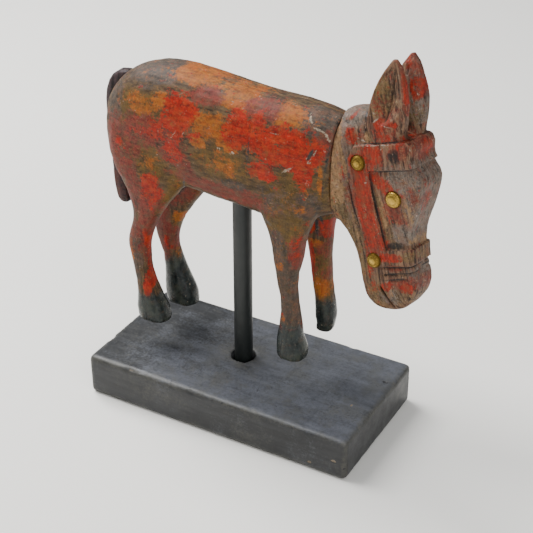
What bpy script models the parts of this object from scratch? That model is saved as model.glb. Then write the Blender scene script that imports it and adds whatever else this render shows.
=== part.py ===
# A carved and painted wooden horse, held over a black wooden plinth by one round bar.
# Metres, +Z up. The origin is the centre of the plinth's underside, and the horse looks along +X.

import math

import bmesh
import bpy
import numpy as np
from mathutils import Matrix, Vector
from mathutils.bvhtree import BVHTree

# Driving dimensions of the stand
PLINTH_LENGTH = 0.200
PLINTH_WIDTH = 0.101
PLINTH_HEIGHT = 0.0307
PLINTH_EDGE = 0.0035
ROD_DIAMETER = 0.0127
ROD_X = -0.0065
ROD_Y = 0.0037
ROD_SEAT_DEPTH = 0.020
ROD_SOCKET_DEPTH = 0.030
ROD_HOLE_DIAMETER = 0.0164
ROD_HOLE_DEPTH = 0.003

# Driving dimensions of the horse
HORSE_HEIGHT = 0.224
SOLE_GAP = 0.0200
STRAP_THICKNESS = 0.0019
STRAP_LINE_WIDTH = 0.0011
STRAP_LINE_DEPTH = 0.0014
STUD_DIAMETER = 0.0094
EYE_STUD_DIAMETER = 0.0102
STUD_RISE = 0.0024
STUD_SEAT = 0.0008
MOUTH_SLIT = 0.0018
MOUTH_DEPTH = 0.0035
CREASE_WIDTH = 0.0013
CREASE_DEPTH = 0.0016
FIT_GAP = 0.0003

# Points of one skin that are closer than this are one point
SEAM = 0.00002

# The figure is drawn for a horse this many units tall from sole to ear tip, so one unit is a
# share of its height. Its own origin is on the bar's axis, level with the soles.
DRAWN_HEIGHT = 224.0
UNIT = HORSE_HEIGHT / DRAWN_HEIGHT
HORSE_ORIGIN = Vector((ROD_X, ROD_Y, PLINTH_HEIGHT + SOLE_GAP))

# Where the head's block is glued to the body's, along the figure
NECK_JOINT = 71.5

# How finely the carved blocks are worked
BODY_GRAIN = 1.6
BODY_SOFTENING = 5
BODY_KEEP = 0.053
HEAD_GRAIN = 1.3
HEAD_SOFTENING = 3
HEAD_KEEP = 0.044

# How many sides and rings the forms are drawn with
RING_SIDES = 32
ROUND_SIDES = 28
STUD_SIDES = 20
STUD_STEPS = 3
EDGE_SEGMENTS = 3
LOFT_RINGS = 60
NECK_RINGS = 20
TAIL_SIDES = 10
TAIL_RINGS = 21
EAR_SIDES = 16
EAR_RINGS = 11

# Barrel: place along the figure, top, bottom, half width
BARREL_POWER = 2.5
BARREL = (
    (-97.0, 148, 126, 6),
    (-95.5, 157, 115, 11.5),
    (-92.0, 165, 107, 16),
    (-86.5, 172, 104, 19.5),
    (-79.5, 178, 104, 22),
    (-71.0, 182.5, 105, 24),
    (-60.0, 186, 107, 25.5),
    (-42.0, 188, 107, 26.5),
    (-20.0, 186, 105, 27),
    (6.0, 183.5, 103, 27),
    (27.0, 182, 101, 26.5),
    (46.0, 181.5, 104, 25),
    (60.0, 180.5, 109, 22.5),
    (72.0, 178, 114, 19.5),
    (78.0, 177, 118, 18),
)

# Legs: height, middle fore and aft, half length fore and aft, half width across
LEG_SPREAD = 14.3
LEG_POWER = 2.4
NEAR_REAR_LEG = (
    (0, -62.3, 11.8, 9.5),
    (9, -64.0, 11.2, 9.5),
    (19, -66.0, 8.4, 8.2),
    (29, -68.2, 6.6, 7.0),
    (39, -70.5, 6.2, 6.4),
    (49, -71.7, 6.9, 6.6),
    (59, -72.2, 8.0, 7.0),
    (69, -69.2, 8.2, 7.4),
    (79, -65.5, 9.0, 8.4),
    (89, -62.8, 12.2, 9.8),
    (99, -60.5, 17.6, 11.0),
    (114, -60, 27, 11.6),
    (129, -61, 30, 11.2),
    (145, -63, 25, 9),
)
NEAR_FRONT_LEG = (
    (4, 46.0, 10.2, 9.4),
    (11, 45.7, 10.5, 9.4),
    (19, 44.4, 9.1, 8.6),
    (29, 44.7, 7.5, 7.4),
    (39, 44.5, 6.3, 6.6),
    (49, 43.5, 5.8, 6.4),
    (59, 42.0, 6.4, 6.8),
    (69, 42.0, 7.6, 7.4),
    (79, 42.4, 9.9, 8.6),
    (89, 42.3, 11.2, 9.8),
    (99, 42.2, 13.8, 10.8),
    (114, 41.5, 20, 11.6),
    (130, 42, 22, 11.2),
    (145, 42, 20, 9),
)
FAR_REAR_LEG = (
    (-1, -57.5, 11.8, 9.5),
    (9, -58.5, 11.8, 9.5),
    (19, -60.7, 9.6, 8.2),
    (29, -63.0, 7.5, 7.0),
    (39, -65.7, 6.6, 6.4),
    (49, -68.0, 7.5, 6.6),
    (59, -67.7, 9.8, 7.2),
    (69, -64.5, 10.8, 7.8),
    (79, -59.8, 12.8, 8.6),
    (94, -55.2, 19.0, 10.2),
    (114, -57, 27, 11.4),
    (129, -60, 29, 11.2),
    (145, -62, 25, 9),
)
# The far front leg has lost its hoof: it ends in a blunt black stub under a ring
FAR_FRONT_LEG = (
    (11, 55.0, 5.0, 5.0),
    (13.5, 55.4, 6.3, 6.4),
    (17.5, 56.0, 6.2, 6.4),
    (20, 56.0, 6.9, 6.9),
    (29, 55.7, 7.1, 7.0),
    (39, 54.5, 6.8, 6.6),
    (49, 53.0, 6.8, 6.6),
    (59, 52.0, 7.1, 6.8),
    (69, 51.0, 7.7, 7.2),
    (79, 50.5, 8.6, 7.8),
    (89, 49.5, 10.0, 8.8),
    (99, 48, 12.5, 10.2),
    (114, 45, 18, 11.4),
    (130, 43, 21, 11.2),
    (145, 42, 20, 9),
)

# Tail: along the strip its middle (fore and aft, up), thickness, half width
TAIL = (
    (0, -76.0, 166.0, 7.0, 4.0),
    (1, -83.5, 171.5, 9.5, 4.6),
    (2, -91.0, 167.6, 10.8, 5.2),
    (3, -95.6, 159.5, 9.8, 5.4),
    (4, -97.3, 147.0, 8.6, 5.4),
    (5, -96.8, 129.0, 8.4, 5.4),
    (6, -94.8, 114.0, 9.8, 5.6),
    (7, -93.2, 99.0, 11.8, 6.0),
    (8, -92.4, 89.0, 12.0, 6.0),
    (9, -91.8, 81.5, 10.2, 5.2),
    (10, -91.4, 78.0, 6.0, 3.6),
)
TAIL_POWER = 3.0

# The head has its own frame: out of the face, across it to the far side, and down it to the
# muzzle. Its origin is the top edge of the browband, in the middle of the forehead.
HEAD_ORIGIN = (119.9, 0.3, 175.4)
HEAD_YAW = -6.0
HEAD_PITCH = 18.0
HEAD_ROLL = 6.0

# Head: place down the face, back, front, half width. Its corners are rounded, by no more than a
# share of the half width.
HEAD_CORNER = 3.5
CORNER_SHARE = 0.95
HEAD = (
    (-20.5, -43, -31, 5),
    (-18, -49, -25, 9.5),
    (-12, -56, -18, 12.5),
    (-4, -62, -9, 14),
    (2, -65, 0.2, 14.6),
    (11, -66, -0.5, 14.8),
    (17, -66.3, 0.8, 14.8),
    (24, -66.5, 4.0, 14.8),
    (35, -65.6, 1.0, 14.2),
    (46, -60.6, -4.5, 13.2),
    (56, -55.6, -9.8, 12.0),
    (66, -53.0, -12.0, 11.2),
    (78, -52.0, -13.3, 11.4),
    (88, -52.0, -12.6, 11.4),
    (97, -51.5, -16.0, 10.4),
    (102, -49.5, -21.0, 8.8),
    (106, -45.5, -27.0, 6.5),
    (108, -41.5, -32.0, 3.5),
)

# Neck, inside the head's block: place along the figure, top, bottom, half width
NECK = (
    (66, 178, 110, 19.8),
    (71.5, 177, 110, 18.2),
    (75, 178, 108, 16.2),
    (79, 179.5, 105, 14.4),
    (86, 181.5, 99, 12.5),
)

# Ears: place down the face, back, front, inner and outer side
EAR_POWER = 2.6
EAR = (
    (6, -28.5, -5.0, 2.0, 14.8),
    (-2, -28.6, -3.5, 2.0, 16.0),
    (-10, -27.0, -0.5, 2.2, 17.0),
    (-20, -23.8, 2.3, 2.4, 17.6),
    (-30, -18.6, 3.2, 3.0, 16.8),
    (-38, -12.6, 2.8, 4.4, 14.8),
    (-44, -7.0, 1.8, 6.2, 12.4),
    (-47.5, -2.6, 0.2, 8.2, 10.6),
)
# How far forward each ear stands of that: at its base, at its tip
NEAR_EAR_LEAD = (0.0, 0.0)
FAR_EAR_LEAD = (2.8, 0.4)

# Hollow of an ear, from its pointed lower end to the ear's tip: place down the face, where it
# faces (degrees from the side toward the front), how far round its rims reach, its valley's depth
EAR_HOLLOW = (
    (-10, -4, 4, 0.2),
    (-13, 0, 26, 1.6),
    (-18, 5, 48, 3.0),
    (-25, 9, 60, 3.6),
    (-33, 10, 62, 3.4),
    (-40, 12, 56, 2.4),
    (-44, 14, 38, 1.2),
    (-46.5, 14, 8, 0.2),
)
EAR_HOLLOW_RINGS = 10

# Bridle: browband, cheek strap and noseband as one outline, out of the face and down the face
BRIDLE = (
    (-36.0, 0.6),
    (-28.8, 0.0),
    (20.0, 0.0),
    (20.0, 15.8),
    (-28.8, 15.8),
    (-28.8, 66.5),
    (5.0, 66.5),
    (5.0, 76.3),
    (-43.7, 76.3),
    (-43.7, 21.0),
    (-41.0, 8.0),
)

# How far from the head's middle plane the tools that shape its sides reach
SIDE_REACH = 30.0

# Line that parts the browband from the cheek strap, on both sides
STRAP_LINE_TOP = (-28.8, -1.0)
STRAP_LINE_END = (-28.8, 16.6)

# Studs: out of the face, down the face
BROW_STUD = (-34.6, 10.4)
EYE_STUD = (-15.7, 34.1)
NOSE_STUD = (-38.2, 72.6)

# Crease behind the cheek strap, on both sides: from its upper to its lower end
CREASE_TOP = (-44.8, 22.0)
CREASE_END = (-43.6, 60.0)

# Mouth: from its corner to where it opens under the chin, on both sides
MOUTH_CORNER = (-38.5, 90.0)
MOUTH_END = (-31.5, 110.0)

# Height of the belly where the bar goes in, and a length that reaches past any surface
BELLY = 103.2
BEYOND = 400.0


# Scene and collections

def clear_scene():
    for old in list(bpy.data.objects):
        bpy.data.objects.remove(old, do_unlink=True)


def new_collection(name):
    collection = bpy.data.collections.new(name)
    bpy.context.scene.collection.children.link(collection)
    return collection


def paint(name, colour, roughness, metallic):
    material = bpy.data.materials.new(name)
    material.use_nodes = True
    shader = material.node_tree.nodes["Principled BSDF"]
    shader.inputs["Base Color"].default_value = (*colour, 1.0)
    shader.inputs["Roughness"].default_value = roughness
    shader.inputs["Metallic"].default_value = metallic
    return material


clear_scene()
PARTS = new_collection("carved_wooden_horse_on_stand")
CUTTERS = new_collection("cutters")


# Frames

def on_figure(point):
    return HORSE_ORIGIN + UNIT * Vector(point)


def head_axes():
    yaw = math.radians(HEAD_YAW)
    pitch = math.radians(HEAD_PITCH)
    roll = math.radians(HEAD_ROLL)
    turn = Matrix.Rotation(yaw, 3, "Z")
    out = turn @ Vector((math.cos(pitch), 0, math.sin(pitch)))
    down = turn @ Vector((math.sin(pitch), 0, -math.cos(pitch)))
    across = turn @ Vector((0, 1, 0))
    rolled_across = math.cos(roll) * across + math.sin(roll) * down
    rolled_down = math.cos(roll) * down - math.sin(roll) * across
    return out, rolled_across, rolled_down


OUT, ACROSS, DOWN = head_axes()
HEAD_MATRIX = Matrix((OUT, ACROSS, -DOWN)).transposed()


def on_head(out, across, down):
    return on_figure(Vector(HEAD_ORIGIN) + out * OUT + across * ACROSS + down * DOWN)


# Meshes

def fair(table, count):
    rows = np.array(sorted(table), float)
    keys = rows[:, 0]
    slopes = np.gradient(rows, keys, axis=0)
    result = []
    for place in np.linspace(keys[0], keys[-1], count):
        low = min(int(np.searchsorted(keys, place, side="right")) - 1, len(keys) - 2)
        span = keys[low + 1] - keys[low]
        t = (place - keys[low]) / span
        value = (2 * t**3 - 3 * t**2 + 1) * rows[low] + (t**3 - 2 * t**2 + t) * span * slopes[low]
        value += (3 * t**2 - 2 * t**3) * rows[low + 1] + (t**3 - t**2) * span * slopes[low + 1]
        result.append(value.tolist())
    return result


def oval(half_a, half_b, power, sides=RING_SIDES):
    points = []
    for index in range(sides):
        angle = 2 * math.pi * (index + 0.5) / sides
        a = math.copysign(abs(math.cos(angle)) ** (2 / power), math.cos(angle))
        b = math.copysign(abs(math.sin(angle)) ** (2 / power), math.sin(angle))
        points.append((half_a * a, half_b * b))
    return points


def rounded_box(half_a, half_b, corner, sides=RING_SIDES):
    radius = min(corner, CORNER_SHARE * half_a, CORNER_SHARE * half_b)
    points = []
    for index in range(sides):
        quarter, step = divmod(index, sides // 4)
        angle = math.pi / 2 * (quarter + step / (sides // 4 - 1))
        side_a = math.copysign(half_a - radius, math.cos(math.pi / 2 * (quarter + 0.5)))
        side_b = math.copysign(half_b - radius, math.sin(math.pi / 2 * (quarter + 0.5)))
        points.append((side_a + radius * math.cos(angle), side_b + radius * math.sin(angle)))
    return points


def loft(name, rings):
    work = bmesh.new()
    rows = [[work.verts.new(point) for point in ring] for ring in rings]
    sides = len(rows[0])
    for low, high in zip(rows, rows[1:]):
        for index in range(sides):
            after = (index + 1) % sides
            work.faces.new((low[index], low[after], high[after], high[index]))
    work.faces.new(list(reversed(rows[0])))
    work.faces.new(rows[-1])
    bmesh.ops.recalc_face_normals(work, faces=work.faces)
    return mesh_object(name, work, CUTTERS)


def mesh_object(name, work, collection):
    mesh = bpy.data.meshes.new(name)
    work.to_mesh(mesh)
    work.free()
    item = bpy.data.objects.new(name, mesh)
    collection.objects.link(item)
    if collection is CUTTERS:
        item.hide_render = True
        item.display_type = "WIRE"
    return item


def settle(item):
    # Keeps what the modifiers make as the object's own mesh
    graph = bpy.context.evaluated_depsgraph_get()
    mesh = bpy.data.meshes.new_from_object(item.evaluated_get(graph))
    item.modifiers.clear()
    item.data = mesh
    return item


def merged(name, items, collection):
    work = bmesh.new()
    for item in items:
        mesh = item.data.copy()
        mesh.transform(item.matrix_world)
        work.from_mesh(mesh)
        bpy.data.objects.remove(item, do_unlink=True)
    return mesh_object(name, work, collection)


def carve(name, lofts, grain, softening, keep):
    # Runs closed forms that pass through each other into one carved block
    block = merged(name, lofts, PARTS)
    remesh = block.modifiers.new("one skin", "REMESH")
    remesh.mode = "VOXEL"
    remesh.voxel_size = grain * UNIT
    smooth = block.modifiers.new("softened joins", "SMOOTH")
    smooth.factor = 0.5
    smooth.iterations = softening
    reduce = block.modifiers.new("knife facets", "DECIMATE")
    reduce.ratio = keep
    return settle(block)


def boolean(target, tool, operation):
    step = target.modifiers.new(operation.lower(), "BOOLEAN")
    step.operation = operation
    step.solver = "EXACT"
    step.object = tool
    settle(target)
    return target


def grown(item, name, amount):
    copy = bpy.data.objects.new(name, item.data.copy())
    CUTTERS.objects.link(copy)
    copy.hide_render = True
    copy.display_type = "WIRE"
    push = copy.modifiers.new("grown", "DISPLACE")
    push.strength = amount
    push.mid_level = 0.0
    return settle(copy)


def block_between(name, low, high, axes=None, origin=None):
    # A box between two corners of a frame, in metres
    work = bmesh.new()
    bmesh.ops.create_cube(work, size=1.0)
    low, high = Vector(low), Vector(high)
    bmesh.ops.scale(work, vec=high - low, verts=work.verts)
    bmesh.ops.translate(work, vec=(low + high) / 2, verts=work.verts)
    if axes is not None:
        bmesh.ops.transform(work, matrix=axes.to_4x4(), verts=work.verts)
    if origin is not None:
        bmesh.ops.translate(work, vec=origin, verts=work.verts)
    bmesh.ops.recalc_face_normals(work, faces=work.faces)
    return mesh_object(name, work, CUTTERS)


def round_bar(name, diameter, low, high, collection, sides=ROUND_SIDES):
    work = bmesh.new()
    bmesh.ops.create_cone(
        work, cap_ends=True, segments=sides, radius1=diameter / 2, radius2=diameter / 2,
        depth=high - low,
    )
    bmesh.ops.translate(work, vec=(ROD_X, ROD_Y, (low + high) / 2), verts=work.verts)
    return mesh_object(name, work, collection)


def finish(item, material):
    # Points that a cut left within a hair of each other become one, so the skin stays closed
    work = bmesh.new()
    work.from_mesh(item.data)
    bmesh.ops.remove_doubles(work, verts=work.verts, dist=SEAM)
    bmesh.ops.dissolve_degenerate(work, edges=work.edges, dist=SEAM / 2)
    work.to_mesh(item.data)
    work.free()
    item.data.materials.clear()
    item.data.materials.append(material)


# Stand

def make_plinth():
    work = bmesh.new()
    bmesh.ops.create_cube(work, size=1.0)
    bmesh.ops.scale(work, vec=(PLINTH_LENGTH, PLINTH_WIDTH, PLINTH_HEIGHT), verts=work.verts)
    bmesh.ops.translate(work, vec=(0, 0, PLINTH_HEIGHT / 2), verts=work.verts)
    plinth = mesh_object("plinth", work, PARTS)
    edge = plinth.modifiers.new("worn edges", "BEVEL")
    edge.width = PLINTH_EDGE
    edge.segments = EDGE_SEGMENTS
    edge.limit_method = "NONE"
    settle(plinth)
    top = PLINTH_HEIGHT
    seat = round_bar(
        "rod_seat", ROD_DIAMETER + 2 * FIT_GAP, top - ROD_SEAT_DEPTH, top + ROD_SEAT_DEPTH, CUTTERS)
    boolean(plinth, seat, "DIFFERENCE")
    hole = round_bar(
        "rod_hole", ROD_HOLE_DIAMETER, top - ROD_HOLE_DEPTH, top + ROD_HOLE_DEPTH, CUTTERS)
    boolean(plinth, hole, "DIFFERENCE")
    finish(plinth, paint("black_painted_wood", (0.020, 0.021, 0.026), 0.5, 0.0))


def make_rod(socket_top):
    low = PLINTH_HEIGHT - ROD_SEAT_DEPTH + FIT_GAP
    rod = round_bar("support_rod", ROD_DIAMETER, low, socket_top - FIT_GAP, PARTS)
    finish(rod, paint("dark_painted_steel", (0.010, 0.014, 0.013), 0.42, 0.0))


# Body

def barrel_rings(table, power, count):
    rings = []
    for x, top, bottom, half_width in fair(table, count):
        ring = oval(half_width, (top - bottom) / 2, power)
        rings.append([on_figure((x, y, (top + bottom) / 2 + z)) for y, z in ring])
    return rings


def leg_rings(table, side, count):
    rings = []
    for height, middle, half_length, half_width in fair(table, count):
        ring = oval(half_length, half_width, LEG_POWER)
        rings.append([on_figure((middle + x, side * LEG_SPREAD + y, height)) for x, y in ring])
    return rings


def make_body():
    lofts = [loft("barrel", barrel_rings(BARREL, BARREL_POWER, LOFT_RINGS))]
    legs = (
        ("near_rear", NEAR_REAR_LEG, -1),
        ("near_front", NEAR_FRONT_LEG, -1),
        ("far_rear", FAR_REAR_LEG, 1),
        ("far_front", FAR_FRONT_LEG, 1),
    )
    for name, table, side in legs:
        lofts.append(loft(name, leg_rings(table, side, LOFT_RINGS)))
    body = carve("horse_body", lofts, BODY_GRAIN, BODY_SOFTENING, BODY_KEEP)
    joint = HORSE_ORIGIN.x + NECK_JOINT * UNIT
    reach = BEYOND * UNIT
    ahead = block_between("ahead_of_joint", (joint, -reach, -reach), (joint + reach, reach, reach))
    return boolean(body, ahead, "DIFFERENCE")


# Tail

def make_tail():
    stations = fair(TAIL, TAIL_RINGS)
    rings = []
    for index, (_, x, z, thickness, half_width) in enumerate(stations):
        before = stations[max(index - 1, 0)]
        after = stations[min(index + 1, len(stations) - 1)]
        along = Vector((after[1] - before[1], 0, after[2] - before[2])).normalized()
        through = Vector((along.z, 0, -along.x))
        ring = oval(thickness / 2, half_width, TAIL_POWER, TAIL_SIDES)
        rings.append([on_figure(Vector((x, 0, z)) + a * through + Vector((0, b, 0))) for a, b in ring])
    tail = loft("horse_tail", rings)
    PARTS.objects.link(tail)
    CUTTERS.objects.unlink(tail)
    tail.hide_render = False
    tail.display_type = "TEXTURED"
    finish(tail, paint("dark_stained_wood", (0.030, 0.020, 0.021), 0.6, 0.0))
    return tail


# Head

def head_rings(count):
    rings = []
    for down, back, front, half_width in fair(HEAD, count):
        ring = rounded_box((front - back) / 2, half_width, HEAD_CORNER)
        rings.append([on_head((front + back) / 2 + out, across, down) for out, across in ring])
    return rings


def ear_skin(down, turn, angle):
    # A point of the ear's skin, at a place down the face and an angle from where the hollow faces
    rows = sorted(EAR)
    places = [row[0] for row in rows]
    _, back, front, inner, outer = (
        float(np.interp(down, places, [row[column] for row in rows])) for column in range(5))
    half_long, half_wide = (front - back) / 2, (outer - inner) / 2
    facing = math.radians(turn)
    start = math.atan2(half_wide * math.cos(facing), half_long * math.sin(facing))
    around = start + math.radians(angle)
    long = math.copysign(abs(math.cos(around)) ** (2 / EAR_POWER), math.cos(around))
    wide = math.copysign(abs(math.sin(around)) ** (2 / EAR_POWER), math.sin(around))
    return Vector(((front + back) / 2 + half_long * long, (outer + inner) / 2 + half_wide * wide))


def ear_lead(down, leads):
    base, tip = leads
    return float(np.interp(down, (EAR[-1][0], EAR[0][0]), (tip, base)))


def make_ear(name, side, leads):
    rings = []
    for down, back, front, inner, outer in fair(EAR, EAR_RINGS):
        ring = oval((front - back) / 2, (outer - inner) / 2, EAR_POWER, EAR_SIDES)
        middle_out = (front + back) / 2 + ear_lead(down, leads)
        middle_across = side * (inner + outer) / 2
        rings.append([on_head(middle_out + out, middle_across + across, down) for out, across in ring])
    ear = loft(name, rings)
    # The hollow is two facets that meet in a valley, open on the side it faces
    sections = []
    for down, turn, reach, depth in fair(EAR_HOLLOW, EAR_HOLLOW_RINGS):
        facing = Vector((math.sin(math.radians(turn)), math.cos(math.radians(turn))))
        first = ear_skin(down, turn, -reach)
        last = ear_skin(down, turn, reach)
        valley = (first + last) / 2 - depth * facing
        open_side = SIDE_REACH * facing
        section = (first, valley, last, last + open_side, first + open_side)
        lead = ear_lead(down, leads)
        sections.append([on_head(out + lead, side * across, down) for out, across in section])
    return boolean(ear, loft(name + "_hollow", sections), "DIFFERENCE")


def head_prism(name, outline):
    # An outline of the head's side, in the figure's units, as a block through both sides
    sides = []
    for across in (-SIDE_REACH, SIDE_REACH):
        sides.append([on_head(out, across, down) for out, down in outline])
    return loft(name, sides)


def add_bridle(head):
    # The bridle is the head's own surface raised by the straps' thickness, inside the outline
    bridle = grown(head, "bridle", STRAP_THICKNESS)
    boolean(bridle, head_prism("bridle_outline", BRIDLE), "INTERSECT")
    boolean(head, bridle, "UNION")


def cut_slit(head, name, start, end, width, depth):
    # A saw cut between two places on the face, into both sides of the head
    top = Vector((start[0], 0, -start[1]))
    bottom = Vector((end[0], 0, -end[1]))
    along = (bottom - top).normalized()
    through = Vector((along.z, 0, -along.x))
    axes = HEAD_MATRIX @ Matrix((through, Vector((0, 1, 0)), along)).transposed()
    length = (bottom - top).length * UNIT
    middle = ((start[0] + end[0]) / 2, (start[1] + end[1]) / 2)
    for side in (-1, 1):
        face = side_face(head, side, middle)
        near, far = sorted((side * (face - depth), side * (face + SIDE_REACH * UNIT)))
        slit = block_between(
            name, (-width / 2, near, 0), (width / 2, far, length), axes, on_head(start[0], 0, start[1]))
        boolean(head, slit, "DIFFERENCE")


def side_face(head, side, place):
    # How far the head's side is from its middle plane, at a place on the face
    tree = BVHTree.FromObject(head, bpy.context.evaluated_depsgraph_get())
    start = on_head(place[0], side * SIDE_REACH * 2, place[1])
    hit = tree.ray_cast(start, -side * ACROSS)
    return (hit[0] - on_head(place[0], 0, place[1])).dot(side * ACROSS)


def make_stud(name, place, side, diameter, head):
    face = side_face(head, side, place)
    base = on_head(place[0], 0, place[1]) + side * (face - STUD_SEAT) * ACROSS
    axes = Matrix((side * OUT, DOWN, side * ACROSS)).transposed()
    pocket_work = bmesh.new()
    radius = diameter / 2 + FIT_GAP
    reach = 4 * STUD_RISE
    bmesh.ops.create_cone(
        pocket_work, cap_ends=True, segments=ROUND_SIDES, radius1=radius, radius2=radius, depth=reach)
    bmesh.ops.translate(pocket_work, vec=(0, 0, reach / 2), verts=pocket_work.verts)
    bmesh.ops.transform(pocket_work, matrix=axes.to_4x4(), verts=pocket_work.verts)
    bmesh.ops.translate(pocket_work, vec=base, verts=pocket_work.verts)
    boolean(head, mesh_object(name + "_seat", pocket_work, CUTTERS), "DIFFERENCE")
    make_dome(name, diameter, base, axes)


def make_dome(name, diameter, base, axes):
    work = bmesh.new()
    radius = diameter / 2
    rise = STUD_RISE
    sphere = (radius**2 + rise**2) / (2 * rise)
    opening = math.asin(min(radius / sphere, 1.0))
    points = []
    for step in range(STUD_STEPS + 1):
        angle = opening * step / STUD_STEPS
        points.append((sphere * math.sin(angle), rise - sphere * (1 - math.cos(angle))))
    points.append((radius, -STUD_SEAT / 2))
    points.append((0, -STUD_SEAT / 2))
    line = [work.verts.new((x, 0, z)) for x, z in points]
    for first, second in zip(line, line[1:]):
        work.edges.new((first, second))
    bmesh.ops.spin(
        work, geom=work.verts[:] + work.edges[:], cent=(0, 0, 0), axis=(0, 0, 1),
        angle=2 * math.pi, steps=STUD_SIDES, use_merge=True)
    bmesh.ops.remove_doubles(work, verts=work.verts, dist=SEAM)
    bmesh.ops.recalc_face_normals(work, faces=work.faces)
    lift = FIT_GAP + STUD_SEAT / 2
    bmesh.ops.translate(work, vec=(0, 0, lift), verts=work.verts)
    bmesh.ops.transform(work, matrix=axes.to_4x4(), verts=work.verts)
    bmesh.ops.translate(work, vec=base, verts=work.verts)
    finish(mesh_object(name, work, PARTS), BRASS)


def make_head():
    lofts = [
        loft("skull", head_rings(LOFT_RINGS)),
        loft("neck", barrel_rings(NECK, BARREL_POWER, NECK_RINGS)),
    ]
    head = carve("horse_head", lofts, HEAD_GRAIN, HEAD_SOFTENING, HEAD_KEEP)
    joint = HORSE_ORIGIN.x + NECK_JOINT * UNIT + FIT_GAP
    reach = BEYOND * UNIT
    behind = block_between("behind_joint", (joint - reach, -reach, -reach), (joint, reach, reach))
    boolean(head, behind, "DIFFERENCE")
    add_bridle(head)
    cut_slit(head, "crease", CREASE_TOP, CREASE_END, CREASE_WIDTH, CREASE_DEPTH)
    cut_slit(head, "mouth", MOUTH_CORNER, MOUTH_END, MOUTH_SLIT, MOUTH_DEPTH)
    cut_slit(head, "strap_line", STRAP_LINE_TOP, STRAP_LINE_END, STRAP_LINE_WIDTH, STRAP_LINE_DEPTH)
    for name, side, leads in (("near_ear", -1, NEAR_EAR_LEAD), ("far_ear", 1, FAR_EAR_LEAD)):
        boolean(head, make_ear(name, side, leads), "UNION")
    return head


# Assembly

BRASS = paint("aged_brass", (0.42, 0.29, 0.09), 0.35, 1.0)
make_plinth()
body = make_body()
tail = make_tail()
boolean(body, grown(tail, "tail_slot", FIT_GAP), "DIFFERENCE")
belly = HORSE_ORIGIN.z + BELLY * UNIT
socket_top = belly + ROD_SOCKET_DEPTH
socket = round_bar(
    "rod_socket", ROD_DIAMETER + 2 * FIT_GAP, PLINTH_HEIGHT, socket_top, CUTTERS)
boolean(body, socket, "DIFFERENCE")
finish(body, paint("worn_red_paint", (0.19, 0.045, 0.022), 0.6, 0.0))
make_rod(socket_top)
head = make_head()
for name, place, diameter in (
    ("brow_stud", BROW_STUD, STUD_DIAMETER),
    ("eye_stud", EYE_STUD, EYE_STUD_DIAMETER),
    ("nose_stud", NOSE_STUD, STUD_DIAMETER),
):
    for label, side in (("right", -1), ("left", 1)):
        make_stud(name + "_" + label, place, side, diameter, head)
finish(head, paint("worn_brown_paint", (0.085, 0.050, 0.038), 0.6, 0.0))
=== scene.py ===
# A carved, painted and worn wooden horse on a black block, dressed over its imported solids.
import math
import bmesh
import bpy
import numpy as np
from mathutils import Matrix, Vector, noise


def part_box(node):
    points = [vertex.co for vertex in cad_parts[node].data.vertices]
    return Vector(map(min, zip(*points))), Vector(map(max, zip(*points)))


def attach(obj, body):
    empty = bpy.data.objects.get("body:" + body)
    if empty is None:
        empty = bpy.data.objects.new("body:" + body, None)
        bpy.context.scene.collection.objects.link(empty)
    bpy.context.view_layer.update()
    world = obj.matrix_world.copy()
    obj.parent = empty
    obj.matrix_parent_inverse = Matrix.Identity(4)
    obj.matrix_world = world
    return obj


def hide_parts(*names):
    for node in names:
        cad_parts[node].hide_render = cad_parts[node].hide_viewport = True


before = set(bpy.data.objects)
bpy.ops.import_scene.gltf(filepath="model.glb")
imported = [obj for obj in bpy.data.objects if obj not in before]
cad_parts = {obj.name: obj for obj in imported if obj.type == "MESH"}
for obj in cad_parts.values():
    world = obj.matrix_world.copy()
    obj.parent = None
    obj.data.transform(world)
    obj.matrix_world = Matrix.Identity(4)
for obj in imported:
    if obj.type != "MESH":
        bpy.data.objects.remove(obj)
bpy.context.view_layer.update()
millimetre = 0.001
barX, barY = -6.5, 3.7  # the bar's axis, in the barrel's middle, in millimetres
coatNames = ("grey", "ochre", "olive", "rose", "red", "black", "pale")
# settings that many shader nodes share
eased = {"interpolation_type": "SMOOTHSTEP"}
coloured = {"data_type": "RGBA"}
timesPlus = {"operation": "MULTIPLY_ADD"}


# Small helpers

def linearColour(hexCode):
    values = [int(hexCode[i:i + 2], 16) / 255 for i in (1, 3, 5)]
    return tuple(v / 12.92 if v <= 0.04045 else ((v + 0.055) / 1.055) ** 2.4 for v in values) + (1.0,)


def addNode(tree, kind, settings=None, inputs=None, outlet=None):
    # settings are the node's own properties; an input is a value or the socket that feeds it;
    # outlet picks one of the new node's own outputs to hand back
    node = tree.nodes.new(kind)
    for key, value in (settings or {}).items():
        setattr(node, key, value)
    for key, value in (inputs or {}).items():
        if isinstance(value, bpy.types.NodeSocket):
            tree.links.new(value, node.inputs[key])
        else:
            node.inputs[key].default_value = value
    return node if outlet is None else node.outputs[outlet]


def emptyMaterial(name):
    # its tree has the object's own coordinates and nothing else yet
    material = bpy.data.materials.new(name)
    material.use_nodes = True
    tree = material.node_tree
    tree.nodes.clear()
    return material, tree, addNode(tree, "ShaderNodeTexCoord", outlet="Object")


def pieceFromMesh(name, mesh):
    piece = bpy.data.objects.new(name, mesh)
    bpy.context.scene.collection.objects.link(piece)
    return piece


def fineSkin(name, nodeName, look):
    # the node stays as it is: its copy's loose triangles are joined, then remeshed into one fine skin
    work = bmesh.new()
    work.from_mesh(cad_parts[nodeName].data)
    bmesh.ops.remove_doubles(work, verts=work.verts, dist=0.01 * millimetre)
    mesh = bpy.data.meshes.new(name)
    work.to_mesh(mesh)
    work.free()
    mesh.materials.clear()
    piece = pieceFromMesh(name, mesh)
    skin = piece.modifiers.new("fineSkin", "REMESH")
    skin.mode = "VOXEL"
    skin.voxel_size = look["voxelMm"] * millimetre
    skin.use_smooth_shade = True
    applyModifiers(piece)
    return piece


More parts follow.
